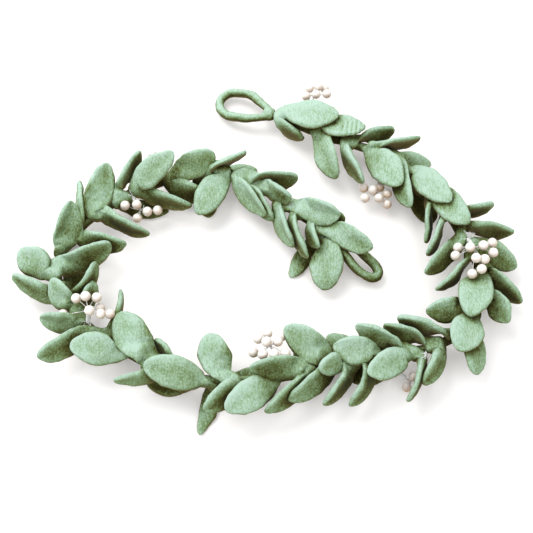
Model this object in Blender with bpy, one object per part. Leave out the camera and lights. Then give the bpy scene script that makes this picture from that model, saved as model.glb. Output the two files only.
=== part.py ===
"""Felt christmas garland lying in a loose curl on a table.

A round felt cord with a hanging loop at each end carries pairs of thick wet-felt leaves.
Each pair is one piece with a narrow waist, which sits over the cord like a saddle.
Small berries on wires stand in clusters between the leaves.
Metres, +X to the right, +Y away from the viewer, +Z up, table at z = 0.
"""
import math
from collections import namedtuple

import bmesh
import bpy
from mathutils import Vector
from mathutils.bvhtree import BVHTree

# Driving dimensions
CORD_RADIUS = 0.0050
CORD_HEIGHT = 0.022
CORD_SIDES = 8
CORD_STEP = 0.020
GAP = 0.0004
SADDLE_GAP = 0.0012
FELT = 0.0043
WAIST_WIDTH = 0.0090
WAIST_FELT = 0.0026
SADDLE_RADIUS = CORD_RADIUS + SADDLE_GAP + WAIST_FELT / 2
SADDLE_STEP = math.radians(45)
SEAT_SPREAD = math.radians(70)
FLOOR_SEAT = math.radians(118)
LEAF_CLEARANCE = 0.0004
FLOOR_CLEARANCE = 0.0006
FLAT_FROM = 0.37
BERRY_RADIUS = 0.0055
WIRE_RADIUS = 0.0006
STEM_RADIUS = 0.0013
KNOT_RADIUS = 0.0030
BINDING_RADIUS = 0.0020
BINDING_GAP = 0.0003

# The cord's way over the table, chosen point by point, in metres
CORD_ROUTE = [
    (0.010, 0.200), (0.058, 0.178), (0.114, 0.155), (0.145, 0.143), (0.172, 0.122), (0.194, 0.092),
    (0.218, 0.050), (0.237, 0.008), (0.242, -0.022), (0.234, -0.052), (0.206, -0.086), (0.156, -0.105),
    (0.100, -0.112), (0.048, -0.124), (0.004, -0.135), (-0.054, -0.137), (-0.102, -0.127),
    (-0.148, -0.106), (-0.194, -0.076), (-0.226, -0.040), (-0.235, -0.010), (-0.222, 0.037),
    (-0.182, 0.078), (-0.137, 0.103), (-0.086, 0.119), (-0.042, 0.119), (-0.002, 0.098),
    (0.045, 0.060), (0.080, 0.031),
]

# How a leaf widens from its root to its tip, as shares of its length, width and thickness
# lift is how far it stands off the cord, as a share of LEAF_LIFT.
LEAF_LIFT = 0.0030
Section = namedtuple("Section", "along width thickness lift")
LEAF_SECTIONS = [
    Section(0.00, 0.24, 0.60, 0.0),
    Section(0.15, 0.70, 1.00, 1.0),
    Section(0.37, 1.00, 1.00, 1.0),
    Section(0.63, 1.00, 1.00, 0.6),
    Section(0.87, 0.64, 0.95, 0.2),
    Section(1.00, 0.20, 0.75, 0.0),
]

# Two rows make a pair. at, length, width, arch and cup are in millimetres and the angles in degrees.
# at: root's distance along the cord. splay: turn away from the cord, left of its run is positive.
# rise: slope of the leaf. roll: turn about its own length, upper face to the left is positive.
# arch: how far its middle bows up. cup: how far its edges stand up. rank: 1 lies on top, 4 on the table.
Leaf = namedtuple("Leaf", "at splay rise roll length width arch cup rank")
LEAVES = [
    Leaf(12, 13, 15, -5, 67, 36, 3, -1, 1), Leaf(6, -12, -12, -85, 37, 18, 1, 1, 3),
    Leaf(56, 14, 14, 5, 56, 31, 2, 1, 1), Leaf(63, -50, 0, -40, 59, 31, 3, 3, 2),
    Leaf(104, 36, 2, -70, 47, 25, 2, 2, 2), Leaf(92, -47, 8, -80, 62, 28, 3, 3, 2),
    Leaf(124, 18, 8, -80, 57, 30, 5, 4, 2), Leaf(128, -41, 14, -22, 62, 37, 3, 1, 1),
    Leaf(142, 20, 0, 0, 54, 30, 0, 1, 4), Leaf(164, -42, 6, -50, 60, 29, 3, 1, 2),
    Leaf(186, -6, 18, -20, 63, 32, 3, 1, 1), Leaf(190, -14, 0, 0, 52, 28, 0, 1, 4),
    Leaf(218, 0, 14, -15, 62, 32, 3, 1, 1), Leaf(220, -40, 0, 70, 60, 28, 3, 2, 3),
    Leaf(250, 68, 10, -80, 46, 26, 6, 3, 2), Leaf(248, -52, 4, 75, 56, 28, 5, 3, 2),
    Leaf(269, 50, 8, -75, 59, 28, 6, 3, 2), Leaf(285, -70, 4, 65, 60, 28, 5, 2, 2),
    Leaf(294, 28, -6, -45, 56, 30, 3, 2, 2), Leaf(307, -62, 4, 75, 60, 26, 7, 2, 2),
    Leaf(326, 16, 4, -70, 56, 30, 4, 3, 2), Leaf(335, -24, 16, 0, 61, 38, 4, 1, 1),
    Leaf(350, 32, -2, -40, 45, 27, 2, 3, 3), Leaf(354, -14, 0, 0, 50, 28, 0, 1, 4),
    Leaf(392, 8, 18, 10, 50, 40, 3, 1, 1), Leaf(380, -54, 10, 70, 52, 30, 4, 2, 2),
    Leaf(405, 37, 6, 35, 50, 34, 3, 1, 2), Leaf(425, -43, 14, 75, 60, 30, 4, 2, 2),
    Leaf(440, 38, 6, 55, 48, 28, 3, 3, 2), Leaf(450, -36, 10, 65, 52, 28, 4, 4, 2),
    Leaf(460, 53, 2, 80, 57, 28, 3, 2, 2), Leaf(477, -35, 13, 60, 59, 31, 5, 4, 2),
    Leaf(478, 20, 14, 20, 58, 32, 3, 1, 1), Leaf(486, 8, 0, 0, 54, 28, 0, 1, 4),
    Leaf(517, 57, 0, 70, 54, 30, 6, 3, 2), Leaf(511, -12, 12, 40, 46, 26, 2, 3, 2),
    Leaf(540, 45, 4, 75, 55, 29, 3, 3, 2), Leaf(524, -48, 0, 0, 46, 26, 0, 1, 4),
    Leaf(564, 26, 5, 60, 58, 30, 3, 4, 2), Leaf(560, -45, 15, 25, 60, 33, 3, 2, 1),
    Leaf(548, 11, 22, 40, 36, 24, 2, 1, 3), Leaf(545, -40, 0, 0, 54, 28, 0, 1, 4),
    Leaf(588, 35, 4, 65, 63, 31, 3, 4, 2), Leaf(586, -20, 18, 60, 64, 30, 4, 3, 1),
    Leaf(627, 22, 13, 20, 62, 35, 4, 1, 1), Leaf(622, -10, 0, 0, 50, 28, 0, 1, 4),
    Leaf(660, 14, 8, 50, 50, 30, 3, 2, 2), Leaf(678, -65, 18, 15, 48, 34, 3, 2, 1),
    Leaf(687, 77, 0, 0, 49, 18, 0, 1, 4), Leaf(704, 1, 13, 25, 60, 35, 4, 1, 1),
    Leaf(712, 3, 0, 0, 50, 26, 0, 1, 4), Leaf(726, -33, 3, 75, 43, 25, 3, 2, 3),
    Leaf(750, 36, 2, 70, 45, 22, 3, 3, 2), Leaf(764, -28, 13, 15, 59, 37, 3, 1, 1),
    Leaf(794, 26, 13, 20, 54, 35, 4, 1, 1), Leaf(790, -50, 0, 0, 47, 26, 0, 1, 4),
    Leaf(838, 71, 6, 50, 59, 30, 3, 3, 2), Leaf(816, -66, 12, -80, 54, 24, 4, 2, 1),
    Leaf(850, 22, 10, 60, 44, 29, 3, 5, 2), Leaf(862, -56, 8, -65, 36, 25, 3, 3, 3),
    Leaf(874, -5, 22, 40, 34, 24, 3, 2, 3), Leaf(878, -68, 12, -75, 52, 26, 4, 3, 2),
    Leaf(892, 37, 6, 65, 56, 29, 3, 2, 2), Leaf(896, -40, 0, 0, 56, 28, 0, 1, 4),
    Leaf(920, 57, 14, 20, 45, 35, 3, 1, 1), Leaf(929, -62, 15, -45, 61, 34, 4, 4, 2),
    Leaf(945, 4, 15, -55, 59, 32, 3, 5, 1), Leaf(952, 6, 0, 0, 50, 28, 0, 1, 4),
    Leaf(984, 17, 18, -75, 53, 26, 3, 3, 2), Leaf(972, -81, 10, -75, 60, 29, 6, 3, 2),
    Leaf(1002, 7, 16, -35, 62, 31, 3, 2, 1), Leaf(1016, -69, 4, -80, 62, 30, 4, 3, 2),
    Leaf(1039, 27, 13, -75, 59, 27, 3, 3, 2), Leaf(1044, -33, 0, 0, 50, 26, 0, 1, 4),
    Leaf(1062, -2, 14, -35, 64, 32, 4, 1, 1), Leaf(1072, -44, 2, -80, 58, 28, 3, 2, 3),
    Leaf(1108, 6, 11, -45, 55, 29, 4, 2, 1), Leaf(1098, -38, 2, -75, 52, 28, 3, 2, 3),
    Leaf(1148, 15, 15, -80, 51, 27, 3, 2, 2), Leaf(1142, -84, 0, 0, 43, 26, 0, 1, 4),
    Leaf(1162, 12, 0, 0, 46, 26, 0, 1, 4), Leaf(1168, -111, 2, 15, 58, 34, 3, 1, 1),
    Leaf(1204, 22, 9, -75, 53, 29, 5, 4, 1), Leaf(1186, -35, 4, -65, 62, 29, 3, 4, 2),
    Leaf(1218, -3, 8, -75, 44, 25, 3, 2, 3), Leaf(1204, -36, 8, -60, 54, 26, 3, 3, 2),
    Leaf(1265, 17, 16, -65, 57, 30, 6, 4, 1), Leaf(1246, -38, 6, -60, 62, 30, 4, 4, 2),
    Leaf(1288, 33, -2, -60, 37, 25, 3, 3, 2), Leaf(1268, -33, 4, -65, 62, 29, 6, 3, 2),
    Leaf(1310, 7, 10, -45, 61, 31, 3, 3, 1), Leaf(1294, -20, 22, -70, 36, 20, 3, 2, 3),
    Leaf(1322, -44, -8, 0, 58, 40, 3, 1, 1), Leaf(1302, -80, 0, 0, 58, 22, 0, 1, 4),
]

# Each cluster's stem leaves the cord at a distance along it (mm) and at an angle round it
# (degrees from the top, left of its run is positive). centre is over the table, in millimetres,
# and each berry stands right, back and up from there.
Cluster = namedtuple("Cluster", "at seat centre berries")
CLUSTERS = [
    Cluster(34, 60, (58, 228, 22), [
        (-6, 4, 12), (5, 6, 13), (15, -3, 10), (2, -5, 12), (-10, -5, 8), (13, 8, 5)]),
    Cluster(144, -95, (129, 94, 17), [
        (-15, 8, 2), (-14, -5, 1), (-5, 3, 6), (4, 9, 1), (2, -6, 3), (12, -1, 4), (12, -11, -3)]),
    Cluster(288, 0, (231, 12, 44), [
        (9, -1, 8), (21, 6, 0), (20, -8, 4), (-1, -18, 11), (9, -18, 8), (5, -29, 6), (-5, -33, 2),
        (-20, -7, -6), (-16, 4, -8), (-6, -4, 9)]),
    Cluster(500, 100, (156, -134, 12), [(3, 5, 4), (-4, -5, -3)]),
    Cluster(610, -40, (4, -104, 42), [
        (-13, 9, -2), (-3, 17, -6), (-4, 2, 8), (8, 4, 3), (12, 14, -8), (-18, -4, -9), (4, -12, 8),
        (16, -10, 2), (-8, -11, 4)]),
    Cluster(845, -20, (-192, -64, 48), [
        (-14, 12, 2), (-3, 12, 8), (8, 13, 2), (11, 5, -8), (14, -7, 4), (-30, 0, -14), (3, -6, 11),
        (22, -2, -9)]),
    Cluster(1056, -70, (-145, 69, 26), [(-18, 5, 2), (-4, 4, 6), (8, -3, 2), (19, 2, -4), (-4, -8, -5)]),
    Cluster(1094, 60, (-128, 138, 34), [(-6, 1, -1), (6, 0, 2)]),
    Cluster(1320, -130, (58, 6, 13), [(-2, 4, 4), (3, -6, -3)]),
]

# A hanging loop's reach past the cord's end and its width, both along the tube's centre
Loop = namedtuple("Loop", "name at_start reach width")
LOOPS = [
    Loop("hanging_loop_start", True, 0.078, 0.033),
    Loop("hanging_loop_end", False, 0.064, 0.015),
]
LOOP_STEPS = 22
LOOP_LEG_OFFSET = 0.0036
LOOP_LEG_RADIUS = 0.0036
LOOP_LOW = 0.0070
COLLAR_LENGTH = 0.014
COLLAR_HALF_WIDTH = 0.0076
COLLAR_HALF_HEIGHT = 0.0052

# Small turns tried in order until a leaf lies clear of its neighbours, in degrees
SPLAY_TURNS = range(-24, 25, 4)
RISE_TURNS = range(-12, 37, 4)
ROLL_TURNS = range(-45, 46, 15)

MM = 0.001
UP = Vector((0, 0, 1))
# The corner of a section that sees all the others, also where its middle is hollow
FAN_FROM = 2


def clear_scene():
    for obj in list(bpy.data.objects):
        bpy.data.objects.remove(obj, do_unlink=True)


def felt_material(name, colour):
    material = bpy.data.materials.new(name)
    material.use_nodes = True
    shader = material.node_tree.nodes["Principled BSDF"]
    shader.inputs["Base Color"].default_value = (*colour, 1)
    shader.inputs["Roughness"].default_value = 0.95
    shader.inputs["Metallic"].default_value = 0.0
    return material


def berry_material():
    material = felt_material("berry_pearl", (0.80, 0.72, 0.63))
    material.node_tree.nodes["Principled BSDF"].inputs["Roughness"].default_value = 0.3
    return material


class Route:
    """The cord's centre line, read by its distance along it."""

    def __init__(self, corners, height):
        ends = [self.beyond(corners[0], corners[1])] + corners + [self.beyond(corners[-1], corners[-2])]
        self.points = []
        for before, start, end, after in zip(ends, ends[1:], ends[2:], ends[3:]):
            for step in range(20):
                self.points.append(self.between(before, start, end, after, step / 20))
        self.points.append(Vector(corners[-1]))
        self.points = [Vector((p.x, p.y, height)) for p in self.points]
        self.measure()
        count = round(self.length / CORD_STEP)
        self.points = [self.point(self.length * index / count) for index in range(count + 1)]
        self.measure()

    def measure(self):
        self.marks = [0.0]
        for start, end in zip(self.points, self.points[1:]):
            self.marks.append(self.marks[-1] + (end - start).length)
        self.length = self.marks[-1]

    @staticmethod
    def beyond(end, inner):
        return (2 * end[0] - inner[0], 2 * end[1] - inner[1])

    @staticmethod
    def between(before, start, end, after, share):
        """Catmull-Rom curve between start and end."""
        a, b, c, d = (Vector(p) for p in (before, start, end, after))
        bend = (2 * a - 5 * b + 4 * c - d) * share ** 2 + (3 * b - a - 3 * c + d) * share ** 3
        return 0.5 * (2 * b + (c - a) * share + bend)

    def point(self, at):
        for index in range(len(self.marks) - 1):
            if at <= self.marks[index + 1] or index == len(self.marks) - 2:
                span = self.marks[index + 1] - self.marks[index]
                share = (at - self.marks[index]) / span
                return self.points[index].lerp(self.points[index + 1], share)

    def heading(self, at):
        low = max(at - 0.006, 0.0)
        high = min(at + 0.006, self.length)
        return (self.point(high) - self.point(low)).normalized()

    def seat(self, at, angle, radius):
        """A point beside the centre line, at an angle from the top, and its outward direction."""
        left = UP.cross(self.heading(at))
        outward = UP * math.cos(angle) + left * math.sin(angle)
        return self.point(at) + outward * radius, outward


def tangents(points):
    """The path's direction at each point, halfway between the runs that meet there."""
    runs = [(end - start).normalized() for start, end in zip(points, points[1:])]
    return [(before + after).normalized() for before, after in zip(runs[:1] + runs, runs + runs[-1:])]


def skin(rings):
    """Closes a row of equal rings into one body of triangles, with an end over the first and last."""
    count = len(rings[0])
    corners = [corner for ring in rings for corner in ring]
    last = (len(rings) - 1) * count
    turned = [(FAN_FROM + side) % count for side in range(count)]
    faces = []
    for side, beside in zip(turned[1:], turned[2:]):
        faces.append([turned[0], side, beside])
        faces.append([last + turned[0], last + beside, last + side])
    for start in range(0, last, count):
        for side in range(count):
            here = start + side
            beside = start + (side + 1) % count
            over = here + count
            across = beside + count
            if (corners[here] - corners[across]).length <= (corners[beside] - corners[over]).length:
                faces += [[here, across, beside], [here, over, across]]
            else:
                faces += [[here, over, beside], [beside, over, across]]
    return corners, faces


def body_mesh(name, rings):
    corners, faces = skin(rings)
    mesh = bpy.data.meshes.new(name)
    mesh.from_pydata(corners, [], faces)
    work = bmesh.new()
    work.from_mesh(mesh)
    bmesh.ops.recalc_face_normals(work, faces=work.faces)
    work.to_mesh(mesh)
    work.free()
    return mesh


def add_object(name, mesh, material, smooth=True):
    mesh.materials.append(material)
    if smooth:
        mesh.shade_smooth()
        mesh.set_sharp_from_angle(angle=math.radians(60))
    obj = bpy.data.objects.new(name, mesh)
    bpy.context.collection.objects.link(obj)
    return obj


def united(name, meshes):
    """One mesh that is the union of several closed ones."""
    others = bpy.data.collections.new(name + "_others")
    base = bpy.data.objects.new(name + "_base", meshes[0])
    bpy.context.collection.objects.link(base)
    for mesh in meshes[1:]:
        others.objects.link(bpy.data.objects.new(name + "_other", mesh))
    join = base.modifiers.new("join", "BOOLEAN")
    join.operation = "UNION"
    join.operand_type = "COLLECTION"
    join.collection = others
    join.solver = "EXACT"
    bpy.context.scene.collection.children.link(others)
    bpy.context.view_layer.update()
    graph = bpy.context.evaluated_depsgraph_get()
    mesh = bpy.data.meshes.new_from_object(base.evaluated_get(graph))
    for obj in list(others.objects) + [base]:
        bpy.data.objects.remove(obj, do_unlink=True)
    bpy.data.collections.remove(others)
    mesh.materials.clear()
    mesh.name = name
    return mesh


def oval(centre, forward, half_width, half_height, sides):
    """A ring round a nearly level path."""
    left = UP.cross(forward).normalized()
    top = forward.cross(left)
    ring = []
    for side in range(sides):
        angle = 2 * math.pi * (side + 0.5) / sides
        ring.append(centre + left * half_width * math.sin(angle) + top * half_height * math.cos(angle))
    return ring


def cord_mesh(route):
    directions = tangents(route.points)
    rings = [oval(p, t, CORD_RADIUS, CORD_RADIUS, CORD_SIDES) for p, t in zip(route.points, directions)]
    return body_mesh("felt_cord", rings)


def loop_mesh(route, loop):
    """The cord's end bent back on itself, with its two legs felted together in a collar."""
    at = 0.0 if loop.at_start else route.length
    out = -route.heading(at) if loop.at_start else route.heading(at)
    left = UP.cross(out)
    start = route.point(at) + out * GAP
    drop = CORD_HEIGHT - LOOP_LOW
    points = []
    radii = []
    for step in range(LOOP_STEPS + 1):
        angle = 2 * math.pi * step / LOOP_STEPS
        forward = (1 - math.cos(angle)) / 2
        spread = math.sin(angle) * math.sin(angle / 2) * 1.3
        side = LOOP_LEG_OFFSET * math.cos(angle / 2) + loop.width / 2 * spread
        reach = COLLAR_LENGTH * 0.5 + (loop.reach - COLLAR_LENGTH * 0.5 - CORD_RADIUS) * forward
        height = -drop * (reach / loop.reach) ** 1.4
        points.append(start + out * reach + left * side + UP * height)
        radii.append(LOOP_LEG_RADIUS + (CORD_RADIUS - LOOP_LEG_RADIUS) * min(1, 2.5 * forward))
    rings = [oval(p, t, r, r, CORD_SIDES) for p, t, r in zip(points, tangents(points), radii)]
    tube = body_mesh(loop.name + "_tube", rings)
    collar = []
    for share, size in ((0.0, 0.72), (0.3, 1.0), (0.7, 1.0), (1.0, 0.80)):
        reach = COLLAR_LENGTH * share
        middle = start + out * reach - UP * drop * (reach / loop.reach) ** 1.4
        collar.append(oval(middle, out, COLLAR_HALF_WIDTH * size, COLLAR_HALF_HEIGHT * size, CORD_SIDES))
    return united(loop.name, [tube, body_mesh(loop.name + "_collar", collar)])


def round_bar(name, start, end, radius, sides):
    """A straight bar between two points."""
    along = (end - start).normalized()
    across = along.orthogonal().normalized()
    rings = []
    for centre in (start, end):
        ring = []
        for side in range(sides):
            angle = 2 * math.pi * side / sides
            outward = across * math.cos(angle) + along.cross(across) * math.sin(angle)
            ring.append(centre + outward * radius)
        rings.append(ring)
    return body_mesh(name, rings)


def ball(name, centre, radius, segments, rings):
    mesh = bpy.data.meshes.new(name)
    work = bmesh.new()
    bmesh.ops.create_uvsphere(work, u_segments=segments, v_segments=rings, radius=radius)
    bmesh.ops.translate(work, verts=work.verts, vec=centre)
    work.to_mesh(mesh)
    work.free()
    return mesh


def cluster_mesh(name, route, cluster):
    """Berries on wires that spread from a knot at the end of a stem bound to the cord with thread."""
    knot = Vector(cluster.centre) * MM
    off_centre = CORD_RADIUS + BINDING_GAP + BINDING_RADIUS
    root = route.seat(cluster.at * MM, math.radians(cluster.seat), off_centre)[0]
    pieces = [
        ball(name + "_knot", knot, KNOT_RADIUS, 6, 4),
        ball(name + "_binding", root, BINDING_RADIUS, 6, 4),
        round_bar(name + "_stem", root, knot, STEM_RADIUS, 6),
    ]
    for berry in cluster.berries:
        centre = knot + Vector(berry) * MM
        pieces.append(round_bar(name + "_wire", knot, centre, WIRE_RADIUS, 4))
        pieces.append(ball(name + "_berry", centre, BERRY_RADIUS, 7, 5))
    return united(name, pieces)


def felt_ring(centre, forward, normal, width, thickness, cup):
    """A flat felt section with rounded rims: edges stand up by cup over the middle."""
    normal = (normal - forward * normal.dot(forward)).normalized()
    left = normal.cross(forward)
    half = width / 2
    rim = half - min(thickness / 2, half * 0.6)
    deep = thickness / 2
    lift = cup / 2
    outline = [
        (half, lift), (rim, lift * rim / half + deep), (0, deep - lift), (-rim, lift * rim / half + deep),
        (-half, lift), (-rim, lift * rim / half - deep), (0, -deep - lift), (rim, lift * rim / half - deep),
    ]
    ring = [centre + left * across + normal * high for across, high in outline]
    return [Vector((p.x, p.y, max(p.z, 0.0))) for p in ring]


def leaf_frame(route, leaf):
    """The leaf's own directions: forward along it and its upper face's normal."""
    heading = route.heading(leaf.at * MM)
    turn = math.atan2(heading.y, heading.x) + math.radians(leaf.splay)
    rise = math.radians(leaf.rise)
    level = Vector((math.cos(turn), math.sin(turn), 0))
    forward = level * math.cos(rise) + UP * math.sin(rise)
    upper = UP * math.cos(rise) - level * math.sin(rise)
    roll = math.radians(leaf.roll)
    normal = upper * math.cos(roll) + UP.cross(level) * math.sin(roll)
    return level, forward, normal


def seat_angle(leaf):
    """How far round the cord a leaf is rooted, from the side to which it leans."""
    splay = math.radians(leaf.splay)
    if leaf.rank == 4:
        return math.copysign(FLOOR_SEAT, splay)
    return math.atan2(math.sin(splay), math.sin(math.radians(leaf.rise)) + 0.35)


def pair_seats(first, second):
    """Both leaves' seats, turned apart where they would share one."""
    a, b = seat_angle(first), seat_angle(second)
    short = SEAT_SPREAD - abs(a - b)
    if short > 0:
        side = 1 if a >= b else -1
        a, b = a + side * short / 2, b - side * short / 2
    return a, b


def blade(route, leaf, seat, margin=0.0):
    """Centres, normals and section sizes of a leaf, from its root to its tip."""
    root, outward = route.seat(leaf.at * MM, seat, SADDLE_RADIUS)
    level, forward, normal = leaf_frame(route, leaf)
    face = 1 if normal.dot(outward) >= 0 or leaf.rank == 4 else -1
    stations = []
    for section in LEAF_SECTIONS:
        share = section.along
        centre = root + forward * leaf.length * MM * share
        centre += normal * leaf.arch * MM * 4 * share * (1 - share) + outward * LEAF_LIFT * section.lift
        if leaf.rank == 4:
            left_over = max(0.0, 1 - share / FLAT_FROM) ** 2
            lying = FELT * section.thickness / 2
            centre = root + level * leaf.length * MM * share
            centre.z = lying + (root.z - lying) * left_over
        settled = min(1.0, share / 0.36)
        facing = outward.lerp(normal * face, settled).normalized()
        width = leaf.width * MM * section.width if share > 0 else WAIST_WIDTH
        lift = 0.0 if leaf.rank == 4 else leaf.cup * MM * face * section.width * settled
        stations.append((centre, facing, width + 2 * margin, FELT * section.thickness + 2 * margin, lift))
    return stations


def saddle(route, pair, seats, margin=0.0):
    """Stations over the cord, between the roots of a pair."""
    count = max(2, math.ceil(abs(seats[0] - seats[1]) / SADDLE_STEP))
    stations = []
    for step in range(1, count):
        share = step / count
        at = (pair[0].at + (pair[1].at - pair[0].at) * share) * MM
        centre, outward = route.seat(at, seats[0] + (seats[1] - seats[0]) * share, SADDLE_RADIUS)
        stations.append((centre, outward, WAIST_WIDTH + 2 * margin, WAIST_FELT + 2 * margin, 0.0))
    return stations


def felt_rings(stations):
    directions = tangents([station[0] for station in stations])
    return [felt_ring(s[0], forward, *s[1:]) for s, forward in zip(stations, directions)]


def tree_of(rings):
    corners, faces = skin(rings)
    return BVHTree.FromPolygons(corners, faces), box_of(corners)


def tree_of_mesh(mesh):
    corners = [vertex.co.copy() for vertex in mesh.vertices]
    return BVHTree.FromPolygons(corners, [list(face.vertices) for face in mesh.polygons]), box_of(corners)


def box_of(corners):
    return [(min(c[axis] for c in corners), max(c[axis] for c in corners)) for axis in range(3)]


def touches(thing, others):
    tree, box = thing
    for other, other_box in others:
        apart = any(a[0] > b[1] or b[0] > a[1] for a, b in zip(box, other_box))
        if not apart and tree.overlap(other):
            return True
    return False


def crosses_itself(rings):
    """Whether faces that share no corner meet."""
    corners, faces = skin(rings)
    tree = BVHTree.FromPolygons(corners, faces)
    return any(not set(faces[one]) & set(faces[other]) for one, other in tree.overlap(tree))


def blade_rings(route, pair, side, seats, margin=0.0):
    """Rings of one half of a pair, from the last station over the cord to the leaf's tip."""
    over_cord = saddle(route, pair, seats, margin)
    inner = over_cord[1::-1] if side == 0 else over_cord[-2:]
    return felt_rings(inner + blade(route, pair[side], seats[side], margin))[len(inner) - 1:]


def pair_rings(route, pair, seats):
    first = blade(route, pair[0], seats[0])
    second = blade(route, pair[1], seats[1])
    return felt_rings(first[::-1] + saddle(route, pair, seats) + second)


def waist_rings(route, pair, seats):
    """Rings over the cord, from one leaf's root to the other's."""
    past_root = len(LEAF_SECTIONS) - 1
    return pair_rings(route, pair, seats)[past_root:-past_root]


def turns():
    """All small turns of a leaf, gentlest first."""
    found = []
    for splay in SPLAY_TURNS:
        for rise in RISE_TURNS:
            for roll in ROLL_TURNS:
                size = abs(splay) + abs(rise) * 0.9 + abs(roll) * 0.35
                found.append((size, splay, rise, roll))
    return sorted(found, key=lambda turn: (turn[0], turn[1:]))


def laid_clear(route, pair, side, seats, others, own, choices):
    """The leaf, turned no more than it needs to lie clear of what is there already."""
    leaf = pair[side]
    for _, splay, rise, roll in choices:
        if leaf.rank == 4 and (rise or roll):
            continue
        tried = leaf._replace(splay=leaf.splay + splay, rise=leaf.rise + rise, roll=leaf.roll + roll)
        both = [tried, pair[1]] if side == 0 else [pair[0], tried]
        rings = blade_rings(route, both, side, seats, LEAF_CLEARANCE)
        if leaf.rank < 4 and min(corner.z for ring in rings for corner in ring) < FLOOR_CLEARANCE:
            continue
        if touches(tree_of(rings), others) or touches(tree_of(rings[2:]), own) or crosses_itself(rings):
            continue
        if not crosses_itself(blade_rings(route, both, side, seats)):
            return tried
    raise ValueError(f"no clear place for the leaf at {leaf.at} mm")


def arrange_leaves(route, standing):
    """Lays the leaves one by one, those on top first, and returns the pairs."""
    pairs = [list(LEAVES[index:index + 2]) for index in range(0, len(LEAVES), 2)]
    seats = [pair_seats(*pair) for pair in pairs]
    placed = [[tree_of(waist_rings(route, pair, ends))] for pair, ends in zip(pairs, seats)]
    order = [(pair[side].rank % 4, index, side) for index, pair in enumerate(pairs) for side in (0, 1)]
    choices = turns()
    for _, index, side in sorted(order):
        pair = pairs[index]
        others = [thing for other, things in enumerate(placed) if other != index for thing in things]
        others += standing
        pair[side] = laid_clear(route, pair, side, seats[index], others, placed[index], choices)
        placed[index].append(tree_of(blade_rings(route, pair, side, seats[index])))
    return pairs, seats


def build():
    clear_scene()
    route = Route(CORD_ROUTE, CORD_HEIGHT)
    leaf_felt = felt_material("leaf_felt", (0.42, 0.60, 0.44))
    cord_felt = felt_material("cord_felt", (0.36, 0.53, 0.36))
    pearl = berry_material()
    objects = [add_object("felt_cord", cord_mesh(route), cord_felt)]
    for loop in LOOPS:
        objects.append(add_object(loop.name, loop_mesh(route, loop), cord_felt))
    for number, cluster in enumerate(CLUSTERS, 1):
        name = f"berry_cluster_{number}"
        objects.append(add_object(name, cluster_mesh(name, route, cluster), pearl))
    fixed = [tree_of_mesh(obj.data) for obj in objects]
    pairs, seats = arrange_leaves(route, fixed)
    for number, (pair, ends) in enumerate(zip(pairs, seats), 1):
        name = f"leaf_pair_{number:02d}"
        objects.append(add_object(name, body_mesh(name, pair_rings(route, pair, ends)), leaf_felt))
    centre_on_table(objects)


def centre_on_table(objects):
    """Moves the garland so that the middle of its bounding box stands over the origin."""
    corners = [vertex.co for obj in objects for vertex in obj.data.vertices]
    box = box_of(corners)
    anchor = bpy.data.objects.new("garland_centre", None)
    bpy.context.collection.objects.link(anchor)
    for obj in objects:
        obj.parent = anchor
    anchor.location = (-sum(box[0]) / 2, -sum(box[1]) / 2, -box[2][0])


build()
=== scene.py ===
"""A felt leaf garland on a table: wet-felted leaves, a felted cord and pearl berries on wires."""

import math
import random
from collections import namedtuple

import bmesh
import bpy
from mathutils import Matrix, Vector, noise
from mathutils.bvhtree import BVHTree
from mathutils.kdtree import KDTree


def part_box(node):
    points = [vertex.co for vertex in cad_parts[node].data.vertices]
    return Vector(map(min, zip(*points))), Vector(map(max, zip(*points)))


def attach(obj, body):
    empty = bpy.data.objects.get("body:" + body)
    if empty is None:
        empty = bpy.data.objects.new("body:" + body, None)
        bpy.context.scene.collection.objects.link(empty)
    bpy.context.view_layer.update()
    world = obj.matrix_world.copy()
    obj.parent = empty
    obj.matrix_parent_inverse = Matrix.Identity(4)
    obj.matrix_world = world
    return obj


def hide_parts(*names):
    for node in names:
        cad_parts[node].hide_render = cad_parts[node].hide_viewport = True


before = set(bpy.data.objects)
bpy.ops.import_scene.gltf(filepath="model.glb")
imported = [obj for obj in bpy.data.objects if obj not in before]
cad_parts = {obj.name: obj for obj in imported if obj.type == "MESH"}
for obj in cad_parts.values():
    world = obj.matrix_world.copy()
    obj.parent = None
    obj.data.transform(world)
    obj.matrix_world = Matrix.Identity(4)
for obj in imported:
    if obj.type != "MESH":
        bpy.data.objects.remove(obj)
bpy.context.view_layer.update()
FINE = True
MM = 0.001
UP = Vector((0, 0, 1))

# The cord's way over the table before the curl is centred, in metres
CORD_RADIUS = 0.0050
CORD_HEIGHT = 0.022
CORD_ROUTE = [
    (0.010, 0.200), (0.058, 0.178), (0.114, 0.155), (0.145, 0.143), (0.172, 0.122),
    (0.194, 0.092), (0.218, 0.050), (0.237, 0.008), (0.242, -0.022), (0.234, -0.052),
    (0.206, -0.086), (0.156, -0.105), (0.100, -0.112), (0.048, -0.124), (0.004, -0.135),
    (-0.054, -0.137), (-0.102, -0.127), (-0.148, -0.106), (-0.194, -0.076), (-0.226, -0.040),
    (-0.235, -0.010), (-0.222, 0.037), (-0.182, 0.078), (-0.137, 0.103), (-0.086, 0.119),
    (-0.042, 0.119), (-0.002, 0.098), (0.045, 0.060), (0.080, 0.031),
]
ROUTE_STEPS = 12

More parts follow.
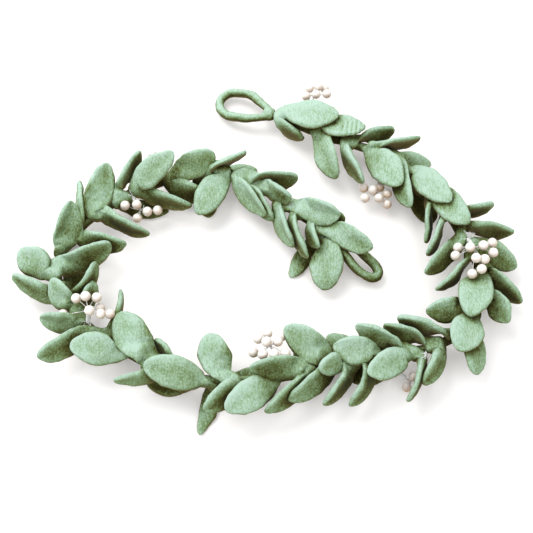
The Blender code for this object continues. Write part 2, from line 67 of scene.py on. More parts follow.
# Each pair as it is cut, in millimetres: both leaves' lengths and the wider one's width
PAIR_CUTS = [
    (67, 37, 36), (56, 59, 31), (47, 62, 28), (57, 62, 37), (54, 60, 30), (63, 52, 32),
    (62, 60, 32), (46, 56, 28), (59, 60, 28), (56, 60, 30), (56, 61, 38), (45, 50, 28),
    (50, 52, 40), (50, 60, 34), (48, 52, 28), (57, 59, 31), (58, 54, 32), (54, 46, 30),
    (55, 46, 29), (58, 60, 33), (36, 54, 28), (63, 64, 31), (62, 50, 35), (50, 48, 34),
    (49, 60, 35), (50, 43, 26), (45, 59, 37), (54, 47, 35), (59, 54, 30), (44, 36, 29),
    (34, 52, 26), (56, 56, 29), (45, 61, 35), (59, 50, 32), (53, 60, 29), (62, 62, 31),
    (59, 50, 27), (64, 58, 32), (55, 52, 29), (51, 43, 27), (46, 58, 34), (53, 62, 29),
    (44, 54, 26), (57, 62, 30), (37, 62, 29), (61, 36, 31), (58, 58, 40),
]

# Berry clusters: stem's place along the cord and angle round it, knot and berries, in millimetres
CLUSTERS = [
    (34, 60, (58, 228, 22), [
        (-6, 4, 12), (5, 6, 13), (15, -3, 10), (2, -5, 12), (-10, -5, 8), (13, 8, 5)]),
    (144, -95, (129, 94, 17), [
        (-15, 8, 2), (-14, -5, 1), (-5, 3, 6), (4, 9, 1), (2, -6, 3), (12, -1, 4), (12, -11, -3)]),
    (288, 0, (231, 12, 44), [
        (9, -1, 8), (21, 6, 0), (20, -8, 4), (-1, -18, 11), (9, -18, 8), (5, -29, 6),
        (-5, -33, 2), (-20, -7, -6), (-16, 4, -8), (-6, -4, 9)]),
    (500, 100, (156, -134, 12), [(3, 5, 4), (-4, -5, -3)]),
    (610, -40, (4, -104, 42), [
        (-13, 9, -2), (-3, 17, -6), (-4, 2, 8), (8, 4, 3), (12, 14, -8), (-18, -4, -9),
        (4, -12, 8), (16, -10, 2), (-8, -11, 4)]),
    (845, -20, (-192, -64, 48), [
        (-14, 12, 2), (-3, 12, 8), (8, 13, 2), (11, 5, -8), (14, -7, 4), (-30, 0, -14),
        (3, -6, 11), (22, -2, -9)]),
    (1056, -70, (-145, 69, 26), [
        (-18, 5, 2), (-4, 4, 6), (8, -3, 2), (19, 2, -4), (-4, -8, -5)]),
    (1094, 60, (-128, 138, 34), [(-6, 1, -1), (6, 0, 2)]),
    (1320, -130, (58, 6, 13), [(-2, 4, 4), (3, -6, -3)]),
]
BERRY_LUCK = 11
BERRY_RADIUS = 0.0056
BERRY_SIDES = 20
BERRY_RINGS = 14
WIRE_RADIUS = 0.00042
WIRE_SIDES = 6
WIRE_BOW = 0.0012
STEM_RADIUS = 0.0010
STEM_SIDES = 8
STEM_BOW = 0.001
STEM_SEAT = 0.0022
BOW_STEPS = 6

# The places of wire and thread in a cluster's list of materials, after its pearl
WIRE_SLOT = 1
THREAD_SLOT = 2

# White thread round each stem, in two layers of turns; spacing and layers count its own radius
THREAD_RADIUS = 0.00040
THREAD_SIDES = 5
WOUND_SHARE = 0.8
LEAST_TURNS = 4
TURN_SPACING = 2.6
TURN_STEPS = 8
LAYER_FIRST = 0.8
LAYER_MORE = 1.7
LAYER_SWAY = 0.5
SWAY_RATE = 0.37

# The thread's loose ends, at the foot of each stem and at its knot
LOOSE_ENDS = 7
TUFTED_CLUSTER = 3
TUFT_ENDS = 18
FOOT_LIFT = 0.002
FOOT_REACH = 0.012
KNOT_ENDS = 6
KNOT_REACH = 0.008
END_SHORTEST = 0.5
END_CURL = 0.0016
END_THIN = 0.75

# Short ends of thread that lie over the felt beside one cluster; their place is in millimetres
STRAND_CLUSTER = 4
STRAND_PLACE = (172, -111)
STRAND_COUNT = 14
STRAND_REACH = 0.0055
STRAND_SHORTEST = 0.6
STRAND_SPREAD = 0.0022
STRAND_LIFT = 0.0028
STRAND_UNEVEN = 0.0008
OVERHEAD = 0.2

# How the solids' loose triangles are joined up
WELD = 0.00002
QUAD_BEND = math.radians(30)
QUAD_SKEW = math.radians(70)

# How far the felt stands out from the plain solids, and how near the cord it stands out more
LEAF_SWELL = 0.00095
ROOT_SWELL = 0.0016
ROOT_NEAR = 0.0085
ROOT_FAR = 0.0190
CORD_SWELL = 0.0011
LOOP_SWELL = 0.0008

# How much wider a leaf's foot is, and how near the cord
BASE_WIDEN = 0.0064
BASE_NEAR = 0.0085
BASE_FAR = 0.0320

# A leaf's rim: how it is found, how firmly it is creased and how its outline is evened
RIM_SHARP = math.radians(68)
RIM_FOLD = math.radians(32)
RIM_STEP = 0.0036
RIM_CREASE = 0.60
RIM_SHORTEST = 0.0055
ON_RIM = 0.95
EASE_TURNS = 3
EASE_STRAIGHT = -0.3
EASE_STEP = 0.25

# How high the felt's lumps, grain and warp are, and how wide
FELT_LUMP = 0.00055
FELT_LUMP_SIZE = 0.0085
ROOT_LUMPS = 2.8
CORD_LUMPS = 0.3
LOOP_LUMPS = 0.8
RIM_LUMP = 0.00060
RIM_LUMP_SIZE = 0.0080
FELT_GRAIN = 0.00014
FELT_GRAIN_SIZE = 0.0026
FELT_WARP = 0.0016
FELT_WARP_SIZE = 0.021
FELT_WARP_SEED = 18

# What tells one piece's lumps and tone from another's
FELT_SHIFT = (1.37, 0.71, 2.13)
CORD_SEED = 101
LOOP_SEED = 111
LEAF_LUCK = 7
LEAF_TONE = 0.06
LOOP_TONE = 0.02

# The loops' surface is made anew in small even faces and calmed
LOOP_VOXEL = 0.0011
LOOP_CALM = 0.5
LOOP_CALM_TURNS = 8

# Wrinkles pressed into single leaves, in millimetres on the plan before the curl is centred
Wrinkle = namedtuple("Wrinkle", "pair x y turn spacing count depth half_width")
WRINKLES = [
    Wrinkle(2, 100, 167, -8, 5.4, 4, 1.00, 15),
    Wrinkle(1, 36, 188, 12, 4.0, 3, 0.40, 12),
    Wrinkle(27, -158, -64, 60, 5.0, 1, 0.80, 12),
    Wrinkle(27, -133, -86, 5, 5.0, 1, 0.70, 12),
]
WRINKLE_FADE = 0.6
# How much painted shade a wrinkle's valleys get, and painted light its ridges, for each millimetre
# of depth
WRINKLE_SHADE = 0.16

# How much sky a patch faces, which is painted as light and shade into the felt's and berries'
# colour: rays over the table, and the window that is brighter than the rest
SKY_RAYS = 28
SKY_REACH = 0.12
SKY_START = 0.0016
SKY_PLAIN = 0.55
SKY_WINDOW = 0.9
WINDOW_FROM = Vector((-0.42, 0.46, 0.78))

# How that painted light is evened out over the felt and leans up at its rims, what counts as its
# underside for painted shade, and a berry's painted light
RIM_LEAN = 0.7
OWN_LIGHT = 0.5
LIGHT_LEAST = 0.8
UNDER_FROM = -0.35
UNDER_FULL = 0.30
BERRY_SKY = 0.45
BERRY_LEAST = 0.12
BERRY_WINDOW = 0.40

# The felt's colours from painted deep shade to painted full light, and what each cause adds to a
# patch's paleness: painted light from the sky it faces, a painted highlight on its rims, and the
# wool's own tone, patches, mottle and heather
LEAF_WOOL_SHADE_TO_LIGHT = [
    (0.00, (0.030, 0.025, 0.006)), (0.30, (0.072, 0.078, 0.018)), (0.50, (0.140, 0.200, 0.082)),
    (0.68, (0.222, 0.335, 0.195)), (0.85, (0.310, 0.450, 0.325)), (1.00, (0.390, 0.540, 0.450)),
]
PALE_BASE = -1.370
# The rim's gain paints a highlight along the leaves' rims
PALE_GAINS = {
    "light": 1.30, "tone": 1.0, "rim": 0.13, "patches": 0.32, "mottle": 0.55, "heather": 1.05,
}
# Painted shade: the warm brown mixed into the felt where it faces down at the table, and how much
# of it
UNDER_SHADE_COLOUR = (0.205, 0.150, 0.062)
UNDER_SHADE_SHARE = 0.80

# Fibres: how they are turned, how many lie side by side in a metre, and their length to width
WISPS = ((0.3, 0.2, 0.7), 640.0, 4.0)
CROSSED_WISPS = ((0.9, -0.4, -1.1), 900.0, 4.5)
THREAD_PLIES = ((0.4, 0.7, 0.2), 2600.0, 5.0)

# The camera: elevation, distance from the aim point and the photograph's own lens
CAMERA_ELEVATION = math.radians(65)
CAMERA_DISTANCE = 1.171
CAMERA_AIM_HEIGHT = 0.020
CAMERA_LENS = 70.0
SENSOR = 36.0
FLOOR_SIZE = 4.0


def smooth_share(value, low, high):
    """0 below low and 1 above high, with an even curve between them."""
    share = min(1.0, max(0.0, (value - low) / (high - low)))
    return share * share * (3 - 2 * share)


def curl_route():
    """The cord's centre line in the frame, as close points, and how far the curl is moved."""
    first, second = Vector(CORD_ROUTE[0]), Vector(CORD_ROUTE[1])
    last, inner = Vector(CORD_ROUTE[-1]), Vector(CORD_ROUTE[-2])
    corners = [2 * first - second] + [Vector(corner) for corner in CORD_ROUTE] + [2 * last - inner]
    points = []
    for a, b, c, d in zip(corners, corners[1:], corners[2:], corners[3:]):
        for step in range(ROUTE_STEPS):
            share = step / ROUTE_STEPS
            bend = (2 * a - 5 * b + 4 * c - d) * share ** 2 + (3 * b - a - 3 * c + d) * share ** 3
            points.append(0.5 * (2 * b + (c - a) * share + bend))
    points.append(last)
    low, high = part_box("felt_cord")
    middle = Vector(((low.x + high.x) / 2, (low.y + high.y) / 2))
    span = [(min(p[axis] for p in points) + max(p[axis] for p in points)) / 2 for axis in (0, 1)]
    moved = middle - Vector(span)
    return [Vector((p.x + moved.x, p.y + moved.y, CORD_HEIGHT)) for p in points], moved


ROUTE, CURL_MOVED = curl_route()
ROUTE_MARKS = [0.0]
for here, there in zip(ROUTE, ROUTE[1:]):
    ROUTE_MARKS.append(ROUTE_MARKS[-1] + (there - here).length)
ROUTE_TREE = KDTree(len(ROUTE))
for place, point in enumerate(ROUTE):
    ROUTE_TREE.insert(point, place)
ROUTE_TREE.balance()


def on_route(at):
    """The cord's centre and direction at a distance along it."""
    for index in range(len(ROUTE) - 1):
        if at <= ROUTE_MARKS[index + 1] or index == len(ROUTE) - 2:
            span = ROUTE_MARKS[index + 1] - ROUTE_MARKS[index]
            centre = ROUTE[index].lerp(ROUTE[index + 1], (at - ROUTE_MARKS[index]) / span)
            return centre, (ROUTE[index + 1] - ROUTE[index]).normalized()


def on_plan(x, y):
    """A place on the table in metres, from millimetres before the curl is centred."""
    return Vector((x * MM + CURL_MOVED.x, y * MM + CURL_MOVED.y))


def sky_rays():
    """Directions spread evenly over the sky, each with its brightness."""
    rays = []
    for index in range(SKY_RAYS):
        height = (index + 0.5) / SKY_RAYS
        level = math.sqrt(1 - height * height)
        turn = index * math.pi * (3 - math.sqrt(5))
        ray = Vector((level * math.cos(turn), level * math.sin(turn), height))
        rays.append((ray, SKY_PLAIN + SKY_WINDOW * max(0.0, ray.dot(WINDOW_FROM))))
    return rays


def solids_tree():
    """All the garland's plain solids, to find what shades what."""
    corners = []
    faces = []
    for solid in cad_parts.values():
        first = len(corners)
        corners += [vertex.co.copy() for vertex in solid.data.vertices]
        faces += [[first + corner for corner in face.vertices] for face in solid.data.polygons]
    return BVHTree.FromPolygons(corners, faces)


SKY = sky_rays()
FULL_SKY = sum(ray.z * bright for ray, bright in SKY)
SOLIDS = solids_tree()


def sky_share(place, normal):
    """How much of the sky a patch faces past its neighbours, from 0 to about 1."""
    start = place + normal * SKY_START
    seen = 0.0
    for ray, bright in SKY:
        facing = normal.dot(ray)
        if facing > 0 and SOLIDS.ray_cast(start, ray, SKY_REACH)[0] is None:
            seen += facing * bright
    return seen / FULL_SKY


def finished(name, work, materials):
    """A smooth object from a bmesh, riding on the garland's body."""
    mesh = bpy.data.meshes.new(name)
    work.to_mesh(mesh)
    work.free()
    for material in materials:
        mesh.materials.append(material)
    mesh.shade_smooth()
    obj = bpy.data.objects.new(name, mesh)
    bpy.context.scene.collection.objects.link(obj)
    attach(obj, "root")
    return obj


def new_material(name):
    """A material, its node tree and shader, and the piece's own coordinates."""
    material = bpy.data.materials.new(name)
    material.use_nodes = True
    tree = material.node_tree
    place = tree.nodes.new("ShaderNodeTexCoord").outputs["Object"]
    return material, tree, tree.nodes["Principled BSDF"], place


def set_inputs(node, values):
    """Gives a node's named inputs their plain values."""
    for name, value in values.items():
        node.inputs[name].default_value = value


def mixed(tree, factor, first, second):
    """A colour mix; each input is a socket or a plain value."""
    mix = tree.nodes.new("ShaderNodeMix")
    mix.data_type = "RGBA"
    # In a colour mix, inputs 0, 6 and 7 are its share and its two colours, and output 2 the mix
    for socket, value in ((mix.inputs[0], factor), (mix.inputs[6], first), (mix.inputs[7], second)):
        if isinstance(value, bpy.types.NodeSocket):
            tree.links.new(value, socket)
        elif isinstance(value, tuple):
            socket.default_value = (*value, 1)
        else:
            socket.default_value = value
    return mix.outputs[2]


def ranged(tree, value, low, high):
    """0 where the value is at low and 1 where it is at high."""
    span = tree.nodes.new("ShaderNodeMapRange")
    tree.links.new(value, span.inputs["Value"])
    set_inputs(span, {"From Min": low, "From Max": high})
    return span.outputs["Result"]


def added(tree, value, gain, base):
    """base + value * gain, where base is a socket or a plain number."""
    node = tree.nodes.new("ShaderNodeMath")
    node.operation = "MULTIPLY_ADD"
    tree.links.new(value, node.inputs[0])
    node.inputs[1].default_value = gain
    if isinstance(base, bpy.types.NodeSocket):
        tree.links.new(base, node.inputs[2])
    else:
        node.inputs[2].default_value = base
    return node.outputs[0]


def cloud(tree, place, scale, detail=3.0, roughness=0.55, distortion=0.0):
    """Noise in metres: scale is how many lumps there are to a metre."""
    texture = tree.nodes.new("ShaderNodeTexNoise")
    tree.links.new(place, texture.inputs["Vector"])
    set_inputs(texture, {
        "Scale": scale, "Detail": detail, "Roughness": roughness, "Distortion": distortion,
    })
    return texture.outputs["Fac"]


def strands(tree, place, turn, fineness, stretch):
    """Noise drawn out into fibres that lie one way."""
    mapping = tree.nodes.new("ShaderNodeMapping")
    tree.links.new(place, mapping.inputs["Vector"])
    set_inputs(mapping, {"Rotation": turn, "Scale": (fineness, fineness / stretch, fineness)})
    along = mapping.outputs["Vector"]
    return cloud(tree, along, scale=1.0, detail=2.0, roughness=0.6, distortion=0.6)


def stored(tree, name):
    """A number that is stored on a piece's vertices."""
    node = tree.nodes.new("ShaderNodeAttribute")
    node.attribute_name = name
    return node.outputs["Fac"]


def bumped(tree, shader, height, strength, distance):
    """Fine relief in a shader, its distance in metres."""
    bump = tree.nodes.new("ShaderNodeBump")
    set_inputs(bump, {"Strength": strength, "Distance": distance})
    tree.links.new(height, bump.inputs["Height"])
    tree.links.new(bump.outputs["Normal"], shader.inputs["Normal"])


def felt_material(name):
    """Heathered wet felt with its fibres every way, and painted light and shade in its colour:
    painted shade makes it olive in its hollows and brown where it faces down, painted light makes
    it pale where it lies open and along its rims.
    """
    material, tree, shader, place = new_material(name)
    mottle = cloud(tree, place, scale=420.0, detail=3.0, roughness=0.6)
    wisps = strands(tree, place, *WISPS)
    heather = mixed(tree, 0.5, wisps, strands(tree, place, *CROSSED_WISPS))
    causes = {
        "light": stored(tree, "light"),
        "tone": stored(tree, "tone"),
        "rim": stored(tree, "rim"),
        "patches": cloud(tree, place, scale=95.0, detail=4.0, roughness=0.62),
        "mottle": mottle,
        "heather": heather,
    }
    # Paleness gathers painted light from the sky a patch faces, a painted highlight on the rims,
    # and the wool's own tone and mottling
    paleness = PALE_BASE
    for cause, gain in PALE_GAINS.items():
        paleness = added(tree, causes[cause], gain, paleness)
    ramp = tree.nodes.new("ShaderNodeValToRGB")
    tree.links.new(paleness, ramp.inputs["Fac"])
    stops = ramp.color_ramp.elements
    while len(stops) < len(LEAF_WOOL_SHADE_TO_LIGHT):
        stops.new(0.5)
    for stop, (share, colour) in zip(stops, LEAF_WOOL_SHADE_TO_LIGHT):
        stop.position = share
        stop.color = (*colour, 1)
    # Painted shade: the felt's colour turns warm brown where it faces down at the table
    under_shade = added(tree, stored(tree, "under"), UNDER_SHADE_SHARE, 0.0)
    wool = mixed(tree, under_shade, ramp.outputs["Color"], UNDER_SHADE_COLOUR)
    tree.links.new(wool, shader.inputs["Base Color"])
    set_inputs(shader, {
        "Roughness": 0.95, "Specular IOR Level": 0.06, "Sheen Weight": 0.12,
        "Sheen Roughness": 0.5, "Sheen Tint": (*LEAF_WOOL_SHADE_TO_LIGHT[-1][1], 1),
    })
    bumped(tree, shader, added(tree, mottle, 1.0, heather), strength=0.6, distance=0.0008)
    return material


def pearl_material():
    """Soft pearl with painted light and shade: milky where it is lit and a painted tan shade on its
    shaded side.
    """
    material, tree, shader, place = new_material("berry_pearl")
    clouds = added(tree, cloud(tree, place, scale=160.0), 0.5, -0.25)
    pale = ranged(tree, added(tree, stored(tree, "light"), 1.0, clouds), 0.26, 0.80)
    # Painted shade: tan where a berry's stored light is low, milky pearl where it is high
    base = mixed(tree, pale, (0.42, 0.275, 0.155), (0.86, 0.83, 0.795))
    tree.links.new(base, shader.inputs["Base Color"])
    set_inputs(shader, {
        "Roughness": 0.28, "Coat Weight": 0.35, "Coat Roughness": 0.18, "Sheen Weight": 0.15,
    })
    bumped(tree, shader, cloud(tree, place, scale=700.0), strength=0.15, distance=0.0003)
    return material


def wire_material():
    """Thin wire in a pale silver coat, a little worn."""
    material, tree, shader, place = new_material("silver_wire")
    worn = ranged(tree, cloud(tree, place, scale=500.0), 0.4, 0.6)
    base = mixed(tree, worn, (0.70, 0.70, 0.68), (0.86, 0.86, 0.85))
    tree.links.new(base, shader.inputs["Base Color"])
    set_inputs(shader, {"Metallic": 0.25, "Roughness": 0.35})
    return material


def thread_material():
    """White binding thread with its plies."""
    material, tree, shader, place = new_material("binding_thread")
    plies = ranged(tree, strands(tree, place, *THREAD_PLIES), 0.4, 0.6)
    base = mixed(tree, plies, (0.74, 0.76, 0.76), (0.92, 0.93, 0.92))
    tree.links.new(base, shader.inputs["Base Color"])
    set_inputs(shader, {"Roughness": 0.7, "Sheen Weight": 0.3})
    return material


def welded(node):
    """A copy of a node's mesh with its loose triangles joined."""
    work = bmesh.new()
    work.from_mesh(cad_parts[node].data)
    bmesh.ops.remove_doubles(work, verts=work.verts, dist=WELD)
    return work


def cage_of(node):
    """A copy of a node's mesh, with its triangles paired up in quads."""
    work = welded(node)
    bmesh.ops.join_triangles(
        work, faces=work.faces, angle_face_threshold=QUAD_BEND, angle_shape_threshold=QUAD_SKEW)
    bmesh.ops.recalc_face_normals(work, faces=work.faces)
    work.normal_update()
    return work


def baked(name, work, modifiers):
    """What a cage becomes under some modifiers, in a new bmesh."""
    mesh = bpy.data.meshes.new(name + "_cage")
    work.to_mesh(mesh)
    work.free()
    cage = bpy.data.objects.new(name + "_cage", mesh)
    bpy.context.scene.collection.objects.link(cage)
    for kind, settings in modifiers:
        modifier = cage.modifiers.new(kind.lower(), kind)
        for setting, value in settings.items():
            setattr(modifier, setting, value)
    bpy.context.view_layer.update()
    smooth = bmesh.new()
    smooth.from_object(cage, bpy.context.evaluated_depsgraph_get())
    bpy.data.objects.remove(cage, do_unlink=True)
    bpy.data.meshes.remove(mesh)
    smooth.normal_update()
    return smooth


def rounded(name, work, levels):
    """The cage rounded off by subdivision."""
    return baked(name, work, [("SUBSURF", {"levels": levels, "render_levels": levels})])


def broadened(work):
    """Widens a pair's waist and its leaves' feet, where they are felted on round the cord."""
    pushes = {}
    for vertex in work.verts:
        rims = [edge for edge in vertex.link_edges if edge.calc_face_angle(0.0) > RIM_SHARP]
        near = 1 - smooth_share(ROUTE_TREE.find(vertex.co)[2], BASE_NEAR, BASE_FAR)
        if len(rims) < 2 or near == 0:
            continue
        push = vertex.normal * BASE_WIDEN * near
        pushes[vertex] = push
        for edge in vertex.link_edges:
            if edge.calc_length() < RIM_STEP:
                pushes.setdefault(edge.other_vert(vertex), push)
    for vertex, push in pushes.items():
        vertex.co += push
    work.normal_update()


def creased(work):
    """Marks the shoulders of a leaf's rim, so that its faces stay flat when it is rounded off."""
    crease = work.edges.layers.float.new("crease_edge")
    rim = work.verts.layers.float.new("rim")
    for edge in work.edges:
        if edge.calc_face_angle(0.0) > RIM_FOLD:
            edge[crease] = RIM_CREASE if edge.calc_length() > RIM_SHORTEST else 0.0
            for vertex in edge.verts:
                vertex[rim] = 1.0


def outline_eased(work):
    """Draws the rim of a leaf in one even curve from its foot to its tip."""
    rim = work.verts.layers.float["rim"]
    for _ in range(EASE_TURNS):
        moves = []
        for vertex in work.verts:
            if vertex[rim] < ON_RIM:
                continue
            others = [edge.other_vert(vertex) for edge in vertex.link_edges]
            ways = [other.co - vertex.co for other in others if other[rim] > ON_RIM]
            pairs = [
                (a.normalized().dot(b.normalized()), a, b)
                for a in ways for b in ways if a is not b]
            straight, a, b = min(pairs, key=lambda pair: pair[0], default=(1, None, None))
            if straight < EASE_STRAIGHT:
                moves.append((vertex, (a + b) * EASE_STEP))
        for vertex, move in moves:
            vertex.co += move
    work.normal_update()


def sky_lit(work):
    """Stores on each vertex how much sky it faces, for painted light and shade in the felt's
    colour, and how far it looks down at the table, for painted shade on its underside.
    """
    light = work.verts.layers.float.get("light") or work.verts.layers.float.new("light")
    under = work.verts.layers.float.get("under") or work.verts.layers.float.new("under")
    rim = work.verts.layers.float.get("rim")
    for vertex in work.verts:
        # Rims lean their normals up towards the sky, which paints a highlight along them
        lean = RIM_LEAN * vertex[rim] if rim else 0.0
        vertex[light] = sky_share(vertex.co, (vertex.normal + UP * lean).normalized())
        # Painted shade: how far a patch faces down, for the warm brown mixed into its colour
        vertex[under] = smooth_share(-vertex.normal.z, UNDER_FROM, UNDER_FULL)
    around = {}
    for vertex in work.verts:
        near = [edge.other_vert(vertex)[light] for edge in vertex.link_edges]
        around[vertex] = sum(near) / len(near)
    for vertex, mean in around.items():
        own = max(vertex[light], LIGHT_LEAST * mean)
        vertex[light] = (1 - OWN_LIGHT) * mean + OWN_LIGHT * own


def root_share(point):
    """1 at the cord, where the leaves are felted together, down to 0 out on a leaf."""
    return 1 - smooth_share(ROUTE_TREE.find(point)[2], ROOT_NEAR, ROOT_FAR)


def swelled(work, out, root_out=0.0):
    """Moves a surface out from its plain solid, and by root_out more at the cord."""
    for vertex in work.verts:
        vertex.co += vertex.normal * (out + root_out * root_share(vertex.co))


def over_table(work):
    """Brings what has gone under the table's top back up to it."""
    for vertex in work.verts:
        vertex.co.z = max(vertex.co.z, 0.0)


# Vector noise is offset by the clock unless it is given a seed
noise.seed_set(FELT_WARP_SEED)


def felt_over(work, seed, lump=FELT_LUMP):
    """Pushes a surface in and out as hand felting does: a soft warp, lumps and a fine grain."""
    shift = Vector([seed * part for part in FELT_SHIFT])
    rim = work.verts.layers.float.get("rim")
    moves = []
    for vertex in work.verts:
        place = vertex.co + shift
        lumps = lump * (1 + ROOT_LUMPS * root_share(vertex.co))
        move = lumps * noise.noise(place / FELT_LUMP_SIZE)
        move += FELT_GRAIN * noise.noise(place / FELT_GRAIN_SIZE)
        if rim:
            move += RIM_LUMP * vertex[rim] * noise.noise(place / RIM_LUMP_SIZE)
        warp = noise.noise_vector(vertex.co / FELT_WARP_SIZE) * FELT_WARP
        moves.append(vertex.normal * move + warp)
    for vertex, move in zip(work.verts, moves):
        vertex.co += move


def wrinkled(work, wrinkle):
    """Presses parallel wrinkles across a leaf, with painted shade in their valleys and painted
    light on their ridges.
    """
    middle = on_plan(wrinkle.x, wrinkle.y)
    along = Vector((math.cos(math.radians(wrinkle.turn)), math.sin(math.radians(wrinkle.turn))))
    reach = wrinkle.spacing * wrinkle.count / 2 * MM
    inner = wrinkle.half_width * WRINKLE_FADE * MM
    light = work.verts.layers.float["light"]
    for vertex in work.verts:
        way = Vector((vertex.co.x, vertex.co.y)) - middle
        run = way.dot(along)
        side = abs(way.x * along.y - way.y * along.x)
        if abs(run) < reach and side < wrinkle.half_width * MM:
            fade = 1 - smooth_share(side, inner, wrinkle.half_width * MM)
            turns = 2 * math.pi * run / (wrinkle.spacing * MM) + math.pi * wrinkle.count
            wave = math.cos(turns)
            vertex.co -= UP * (wrinkle.depth * MM * fade * (1 + wave) / 2)
            # Painted shade in the valleys and painted light on the ridges
            vertex[light] -= WRINKLE_SHADE * fade * wave * wrinkle.depth


def toned(obj, tone):
    """Stores how pale a piece's wool is, for its material."""
    layer = obj.data.attributes.new("tone", "FLOAT", "POINT")
    layer.data.foreach_set("value", [tone] * len(obj.data.vertices))


def make_leaves(felt):
    """Each pair of leaves as one soft piece of felt with its waist over the cord."""
    luck = random.Random(LEAF_LUCK)
    for number, (first, second, width) in enumerate(PAIR_CUTS, 1):
        node = f"leaf_pair_{number:02d}"
        work = cage_of(node)
        creased(work)
        broadened(work)
        swelled(work, LEAF_SWELL, ROOT_SWELL)
        over_table(work)
        work = rounded(node, work, 1)
        outline_eased(work)
        sky_lit(work)
        work = rounded(node, work, 2 if FINE else 1)
        felt_over(work, number)
        for wrinkle in WRINKLES:
            if wrinkle.pair == number:
                wrinkled(work, wrinkle)
        over_table(work)
        leaf = finished(f"felt_leaves_{number:02d}", work, [felt])
        toned(leaf, luck.uniform(-LEAF_TONE, LEAF_TONE))
        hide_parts(node)


def make_cord(felt):
    """The felted cord that the leaves sit over."""
    work = cage_of("felt_cord")
    swelled(work, CORD_SWELL)
    work = rounded("felt_cord", work, 2)
    sky_lit(work)
    work = rounded("felt_cord", work, 1)
    felt_over(work, CORD_SEED, FELT_LUMP * CORD_LUMPS)
    cord = finished("cord", work, [felt])
    toned(cord, 0.0)
    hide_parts("felt_cord")


def make_loops(felt):
    """The hanging loops, their two legs felted together in a collar."""
    for number, node in enumerate(("hanging_loop_start", "hanging_loop_end")):
        work = baked(node, welded(node), [
            ("REMESH", {"mode": "VOXEL", "voxel_size": LOOP_VOXEL}),
            ("SMOOTH", {"factor": LOOP_CALM, "iterations": LOOP_CALM_TURNS}),
        ])
        swelled(work, LOOP_SWELL)
        work.normal_update()
        sky_lit(work)
        felt_over(work, LOOP_SEED + number, FELT_LUMP * LOOP_LUMPS)
        loop = finished(node.replace("hanging_loop", "loop"), work, [felt])
        toned(loop, LOOP_TONE)
        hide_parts(node)


def crossways(along):
    """Two directions square to a given one and to each other."""
    across = along.orthogonal().normalized()
    return across, along.cross(across)


def turned(across, up, angle):
    """The direction at an angle from across towards up."""
    return across * math.cos(angle) + up * math.sin(angle)


def stray(luck, low=-1, high=1):
    """A random way, whose height lies from low to high."""
    return Vector((luck.uniform(-1, 1), luck.uniform(-1, 1), luck.uniform(low, high)))


def sweep(work, points, radius, sides, slot):
    """Draws a round section along a path, from one closed end to the other."""
    ring = list(bmesh.ops.create_circle(work, cap_ends=True, segments=sides, radius=1.0)["verts"])
    cap = ring[0].link_faces[0]
    cap.material_index = slot
    across = None
    for index, centre in enumerate(points):
        before = points[max(index - 1, 0)]
        after = points[min(index + 1, len(points) - 1)]
        along = (after - before).normalized()
        if index:
            across = (across - along * across.dot(along)).normalized()
            grown = bmesh.ops.extrude_face_region(work, geom=[cap])["geom"]
            cap = next(part for part in grown if isinstance(part, bmesh.types.BMFace))
            ring = list(cap.verts)
        else:
            across = crossways(along)[0]
        up = along.cross(across)
        for side, vertex in enumerate(ring):
            vertex.co = centre + radius * turned(across, up, 2 * math.pi * side / sides)


def bowed(start, end, bow):
    """Points from start to end that bow out in the middle."""
    points = []
    for step in range(BOW_STEPS + 1):
        share = step / BOW_STEPS
        points.append(start.lerp(end, share) + bow * 4 * share * (1 - share))
    return points


def berry_share(centre, outward):
    """How much painted light a berry's colour has: its place among the others, and the side that
    looks down.
    """
    above = sky_share(centre + UP * BERRY_RADIUS, UP)
    return above * BERRY_SKY + BERRY_LEAST + BERRY_WINDOW * outward.dot(WINDOW_FROM)


def make_berries(pearl, wire, thread):
    """Each cluster: pearly berries on wires from a knot, on a stem bound with thread."""
    luck = random.Random(BERRY_LUCK)
    for number, (at, seat, knot, berries) in enumerate(CLUSTERS, 1):
        centre, heading = on_route(at * MM)
        outward = turned(UP, UP.cross(heading), math.radians(seat))
        root = centre + outward * (CORD_RADIUS + STEM_SEAT)
        middle = Vector(knot) * MM + Vector((CURL_MOVED.x, CURL_MOVED.y, 0))
        work = bmesh.new()
        light = work.verts.layers.float.new("light")
        stem = bowed(root, middle, heading * STEM_BOW)
        sweep(work, stem, STEM_RADIUS, STEM_SIDES, WIRE_SLOT)
        for berry in berries:
            place = middle + Vector(berry) * MM
            wire_way = bowed(middle, place, stray(luck) * WIRE_BOW)
            sweep(work, wire_way, WIRE_RADIUS, WIRE_SIDES, WIRE_SLOT)
            ball = bmesh.ops.create_uvsphere(
                work, u_segments=BERRY_SIDES, v_segments=BERRY_RINGS, radius=BERRY_RADIUS)
            for vertex in ball["verts"]:
                facing = vertex.co.normalized()
                vertex.co += place
                vertex[light] = berry_share(place, facing)
        bind(work, root, middle, luck, TUFT_ENDS if number == TUFTED_CLUSTER else LOOSE_ENDS)
        if number == STRAND_CLUSTER:
            lay_strands(work, luck)
        bmesh.ops.recalc_face_normals(work, faces=work.faces)
        cluster = finished(f"berries_{number}", work, [pearl, wire, thread])
        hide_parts(f"berry_cluster_{number}")


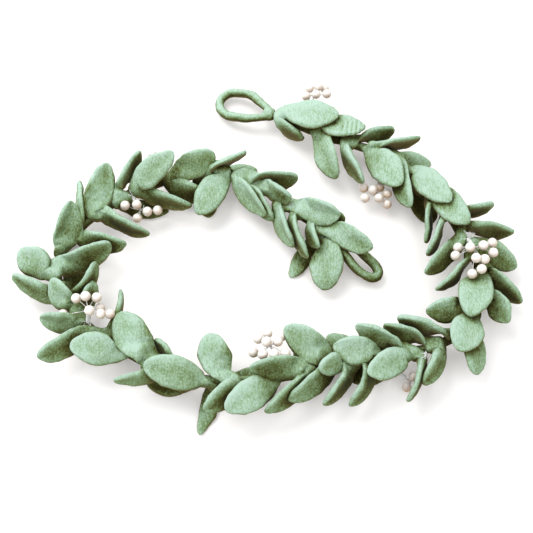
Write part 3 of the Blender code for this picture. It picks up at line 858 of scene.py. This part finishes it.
def bind(work, root, middle, luck, ends):
    """White thread wound to and fro round the stem, with loose ends at its foot and its knot."""
    along = (middle - root).normalized()
    across, up = crossways(along)
    length = (middle - root).length * WOUND_SHARE
    turns = max(LEAST_TURNS, round(length / (THREAD_RADIUS * TURN_SPACING)))
    for layer, way in enumerate((1, -1)):
        points = []
        for step in range(turns * TURN_STEPS + 1):
            share = step / (turns * TURN_STEPS)
            angle = (2 * math.pi * step / TURN_STEPS) * way
            sway = LAYER_SWAY * math.sin(angle * SWAY_RATE)
            out = STEM_RADIUS + THREAD_RADIUS * (LAYER_FIRST + LAYER_MORE * layer + sway)
            points.append(root + along * length * share + turned(across, up, angle) * out)
        sweep(work, points, THREAD_RADIUS, THREAD_SIDES, THREAD_SLOT)
    foot = root + along * FOOT_LIFT
    for start, count, reach in ((foot, ends, FOOT_REACH), (middle, KNOT_ENDS, KNOT_REACH)):
        for _ in range(count):
            side = stray(luck, -0.2, 0.9).normalized()
            end = start + side * reach * luck.uniform(END_SHORTEST, 1.0)
            loose = bowed(start, end, stray(luck, 0, 1) * END_CURL)
            sweep(work, loose, THREAD_RADIUS * END_THIN, THREAD_SIDES, THREAD_SLOT)


def lay_strands(work, luck):
    """Short ends of the binding thread that lie over the felt beside a cluster."""
    middle = on_plan(*STRAND_PLACE)
    for _ in range(STRAND_COUNT):
        turn = luck.uniform(0, math.pi)
        reach = luck.uniform(STRAND_SHORTEST, 1.0)
        way = Vector((math.cos(turn), math.sin(turn))) * STRAND_REACH * reach
        shift = Vector((luck.uniform(-1, 1), luck.uniform(-1, 1))) * STRAND_SPREAD
        points = []
        for step in range(BOW_STEPS + 1):
            spot = middle + shift + way * (2 * step / BOW_STEPS - 1)
            hit = SOLIDS.ray_cast(Vector((spot.x, spot.y, OVERHEAD)), -UP)[0]
            felt = hit.z if hit else 0.0
            height = felt + STRAND_LIFT + STRAND_UNEVEN * luck.uniform(0, 1)
            points.append(Vector((spot.x, spot.y, height)))
        heights = [point.z for point in points]
        for point, (before, after) in zip(points[1:-1], zip(heights, heights[2:])):
            point.z = max(point.z, (before + after) / 2)
        sweep(work, points, THREAD_RADIUS, THREAD_SIDES, THREAD_SLOT)


def floor_material():
    """A pale, matt floor, faintly uneven."""
    material, tree, shader, place = new_material("pale_floor")
    faint = ranged(tree, cloud(tree, place, scale=3.0), 0.3, 0.7)
    base = mixed(tree, faint, (0.75, 0.75, 0.75), (0.77, 0.77, 0.77))
    tree.links.new(base, shader.inputs["Base Color"])
    set_inputs(shader, {
        "Emission Color": (1.0, 1.0, 1.0, 1), "Emission Strength": 0.20,
        "Roughness": 0.8, "Specular IOR Level": 0.1,
    })
    return material


def make_floor():
    """The table's top, which isn't part of the garland."""
    work = bmesh.new()
    bmesh.ops.create_grid(work, x_segments=1, y_segments=1, size=FLOOR_SIZE)
    mesh = bpy.data.meshes.new("floor")
    work.to_mesh(mesh)
    work.free()
    mesh.materials.append(floor_material())
    floor = bpy.data.objects.new("floor", mesh)
    bpy.context.scene.collection.objects.link(floor)


def soft_light(name, place, size, power, colour):
    """A round soft light that shines at the garland's middle."""
    data = bpy.data.lights.new(name, "AREA")
    data.shape = "DISK"
    data.size = size
    data.energy = power
    data.color = colour
    light = bpy.data.objects.new(name, data)
    light.location = place
    light.rotation_euler = (-Vector(place)).to_track_quat("-Z", "Y").to_euler()
    bpy.context.scene.collection.objects.link(light)


def make_studio():
    """Floor, soft lights and an even pale sky."""
    make_floor()
    soft_light("window", (-0.9, 1.0, 1.7), size=1.6, power=36.0, colour=(1.0, 0.99, 0.97))
    soft_light("fill", (1.2, -1.0, 1.8), size=1.8, power=9.0, colour=(1.0, 0.97, 0.93))
    world = bpy.data.worlds.new("studio")
    world.use_nodes = True
    sky = world.node_tree.nodes["Background"]
    set_inputs(sky, {"Color": (1.0, 1.0, 1.0, 1.0), "Strength": 0.95})
    bpy.context.scene.world = world
    bpy.context.scene.view_settings.view_transform = "Standard"


def make_camera():
    """The photograph's view: from the front and above."""
    data = bpy.data.cameras.new("photo_view")
    data.lens = CAMERA_LENS
    data.sensor_width = SENSOR
    camera = bpy.data.objects.new("photo_view", data)
    back = CAMERA_DISTANCE * math.cos(CAMERA_ELEVATION)
    high = CAMERA_AIM_HEIGHT + CAMERA_DISTANCE * math.sin(CAMERA_ELEVATION)
    camera.location = (CURL_MOVED.x, CURL_MOVED.y - back, high)
    camera.rotation_euler = (math.pi / 2 - CAMERA_ELEVATION, 0, 0)
    bpy.context.scene.collection.objects.link(camera)
    bpy.context.scene.camera = camera


leaf_felt = felt_material("leaf_felt")
cord_felt = felt_material("cord_felt")
make_camera()
make_cord(cord_felt)
make_loops(cord_felt)
make_leaves(leaf_felt)
make_berries(pearl_material(), wire_material(), thread_material())
make_studio()

bpy.context.view_layer.update()
